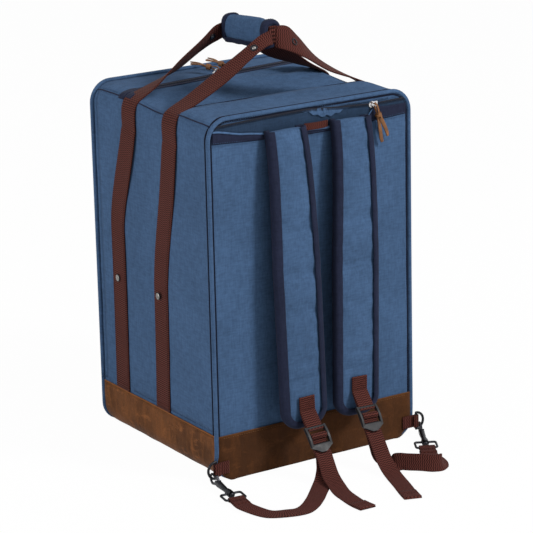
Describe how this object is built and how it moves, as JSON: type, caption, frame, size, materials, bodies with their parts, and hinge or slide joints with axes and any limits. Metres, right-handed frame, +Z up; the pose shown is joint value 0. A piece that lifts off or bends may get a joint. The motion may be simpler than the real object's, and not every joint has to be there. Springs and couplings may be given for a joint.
{
  "type": "padded box drum carry bag",
  "caption": "Padded upright carry bag for a box drum, with backpack straps, a gathered top carry handle, a zipped side-hinged front door and clip-on strap hooks.",
  "frame": {"origin": "middle of the bag's underside, on the surface it stands on", "axes": "+Z up, the back panel with the shoulder straps faces -Y, the front door faces +Y"},
  "size_m": [0.3775, 0.5232, 0.605],
  "materials": {
    "denim": "woven, washed blue with lighter threads",
    "navy": "tightly woven navy binding and zip tape",
    "webbing": "ribbed brown webbing",
    "suede": "brushed brown suede",
    "lace": "tan leather lace",
    "black_metal": "satin black",
    "black_plastic": "moulded black with a satin sheen",
    "zip_coil": "black coil",
    "nickel": "nickel plated",
    "board": "plain board, out of sight"
  },
  "bodies": {
    "bag": {"back_panel": "denim", "pocket_panel": "denim", "pocket_zip_tape": "navy", "pocket_lip": "denim", "haul_loop": "webbing", "left_panel": "denim", "right_panel": "denim", "top_rear_panel": "denim", "bottom_panel": "denim", "front_base_panel": "denim", "base_board": "board", "suede_band": "suede", "back_piping": "denim", "front_piping_base": "denim", "zip_tape_body": "navy", "zip_coil_body": "zip_coil", "handle_webs": "webbing", "side_rivets": "nickel", "ring_tabs": "webbing", "swivel_loop_left": "black_metal", "swivel_loop_right": "black_metal", "web_ends": "webbing", "lower_web_left": "webbing", "lower_web_right": "webbing"},
    "door": {"front_panel": "denim", "door_top_strip": "denim", "door_side_strip": "denim", "front_piping": "denim", "zip_tape_door": "navy", "zip_coil_door": "zip_coil"},
    "handle": {"grip_wrap": "denim", "grip_binding": "navy", "grip_rivets": "nickel", "handle_loop_left": "webbing", "handle_loop_right": "webbing"},
    "slider_left": {"main_slider_left": "nickel"},
    "slider_right": {"main_slider_right": "nickel"},
    "pull_left": {"main_pull_left": "lace"},
    "pull_right": {"main_pull_right": "lace"},
    "pocket_slider": {"pocket_slider": "nickel"},
    "pocket_pull": {"pocket_pull": "lace"},
    "pad_left": {"pad_left": "denim", "pad_binding_left": "navy", "pad_web_left": "webbing", "tail_left": "webbing"},
    "pad_right": {"pad_right": "denim", "pad_binding_right": "navy", "pad_web_right": "webbing", "tail_right": "webbing"},
    "buckle_left": {"buckle_left": "black_plastic", "buckle_web_left": "webbing"},
    "buckle_right": {"buckle_right": "black_plastic", "buckle_web_right": "webbing"},
    "ring_left": {"d_ring_left": "black_metal"},
    "ring_right": {"d_ring_right": "black_metal"},
    "hook_left": {"snap_hook_left": "black_metal"},
    "hook_right": {"snap_hook_right": "black_metal"},
    "gate_left": {"snap_gate_left": "black_metal"},
    "gate_right": {"snap_gate_right": "black_metal"}
  },
  "joints": [
    {"name": "door_hinge", "type": "hinge", "parent": "bag", "child": "door", "pos_m": [-0.16, 0.154, 0], "axis": [0, 0, 1], "range_deg": [0, 110]},
    {"name": "handle_fold", "type": "slide", "parent": "bag", "child": "handle", "axis": [0, 0, 1], "range_m": [-0.05, 0], "deforming": ["handle_loop_left", "handle_loop_right"]},
    {"name": "slider_left_run", "type": "slide", "parent": "bag", "child": "slider_left", "axis": [0.9944, 0.1057, 0], "range_m": [-0.11, 0]},
    {"name": "slider_right_run", "type": "slide", "parent": "bag", "child": "slider_right", "axis": [0.9944, 0.1057, 0], "range_m": [0, 0.11]},
    {"name": "pull_left_lift", "type": "hinge", "parent": "slider_left", "child": "pull_left", "pos_m": [0.004, 0.08743, 0.5103], "axis": [0.809, 0.5878, 0], "range_deg": [-14, 120]},
    {"name": "pull_right_lift", "type": "hinge", "parent": "slider_right", "child": "pull_right", "pos_m": [0.024, 0.08955, 0.5103], "axis": [0.9613, 0.2756, 0], "range_deg": [-14, 120]},
    {"name": "pocket_slider_run", "type": "slide", "parent": "bag", "child": "pocket_slider", "axis": [1, 0, 0], "range_m": [0, 0.036]},
    {"name": "pocket_pull_lift", "type": "hinge", "parent": "pocket_slider", "child": "pocket_pull", "pos_m": [0.101, -0.1619, 0.48856], "axis": [-0.9511, 0, -0.309], "range_deg": [0, 100]},
    {"name": "pad_left_swing", "type": "hinge", "parent": "bag", "child": "pad_left", "pos_m": [-0.046, -0.1543, 0.477], "axis": [-0.9999, 0, -0.014], "range_deg": [0, 25], "deforming": ["lower_web_left"]},
    {"name": "pad_right_swing", "type": "hinge", "parent": "bag", "child": "pad_right", "pos_m": [0.059, -0.1543, 0.477], "axis": [-0.9994, 0, 0.0349], "range_deg": [0, 25], "deforming": ["lower_web_right"]},
    {"name": "buckle_left_tilt", "type": "hinge", "parent": "pad_left", "child": "buckle_left", "pos_m": [-0.04032, -0.21114, 0.07004], "axis": [-0.9999, 0, -0.014], "range_deg": [0, 35]},
    {"name": "buckle_right_tilt", "type": "hinge", "parent": "pad_right", "child": "buckle_right", "pos_m": [0.04518, -0.21079, 0.08124], "axis": [-0.9994, 0, 0.0349], "range_deg": [0, 35]},
    {"name": "ring_left_swing", "type": "hinge", "parent": "bag", "child": "ring_left", "pos_m": [-0.167, -0.1593, 0.021], "axis": [0, 0, 1], "range_deg": [-8, 10]},
    {"name": "ring_right_swing", "type": "hinge", "parent": "bag", "child": "ring_right", "pos_m": [0.167, -0.1593, 0.021], "axis": [0, 0, 1], "range_deg": [-15, 0]},
    {"name": "hook_left_swivel", "type": "hinge", "parent": "bag", "child": "hook_left", "pos_m": [-0.173, -0.1593, 0.01061], "axis": [-0.1043, -0.9921, -0.0698], "range_deg": [-3, 11]},
    {"name": "hook_right_swivel", "type": "hinge", "parent": "bag", "child": "hook_right", "pos_m": [0.173, -0.1593, 0.01061], "axis": [-0.4683, -0.8808, -0.0698], "range_deg": [-3, 2]},
    {"name": "gate_left_spring", "type": "hinge", "parent": "hook_left", "child": "gate_left", "pos_m": [-0.17498, -0.1781, 0.01289], "axis": [-0.9945, 0.1045, 0], "range_deg": [0, 25], "stiffness_Nm_per_rad": 0.02, "springref_deg": -20.05},
    {"name": "gate_right_spring", "type": "hinge", "parent": "hook_right", "child": "gate_right", "pos_m": [0.16412, -0.17599, 0.01289], "axis": [-0.8829, 0.4695, 0], "range_deg": [0, 25], "stiffness_Nm_per_rad": 0.02, "springref_deg": -20.05}
  ]
}
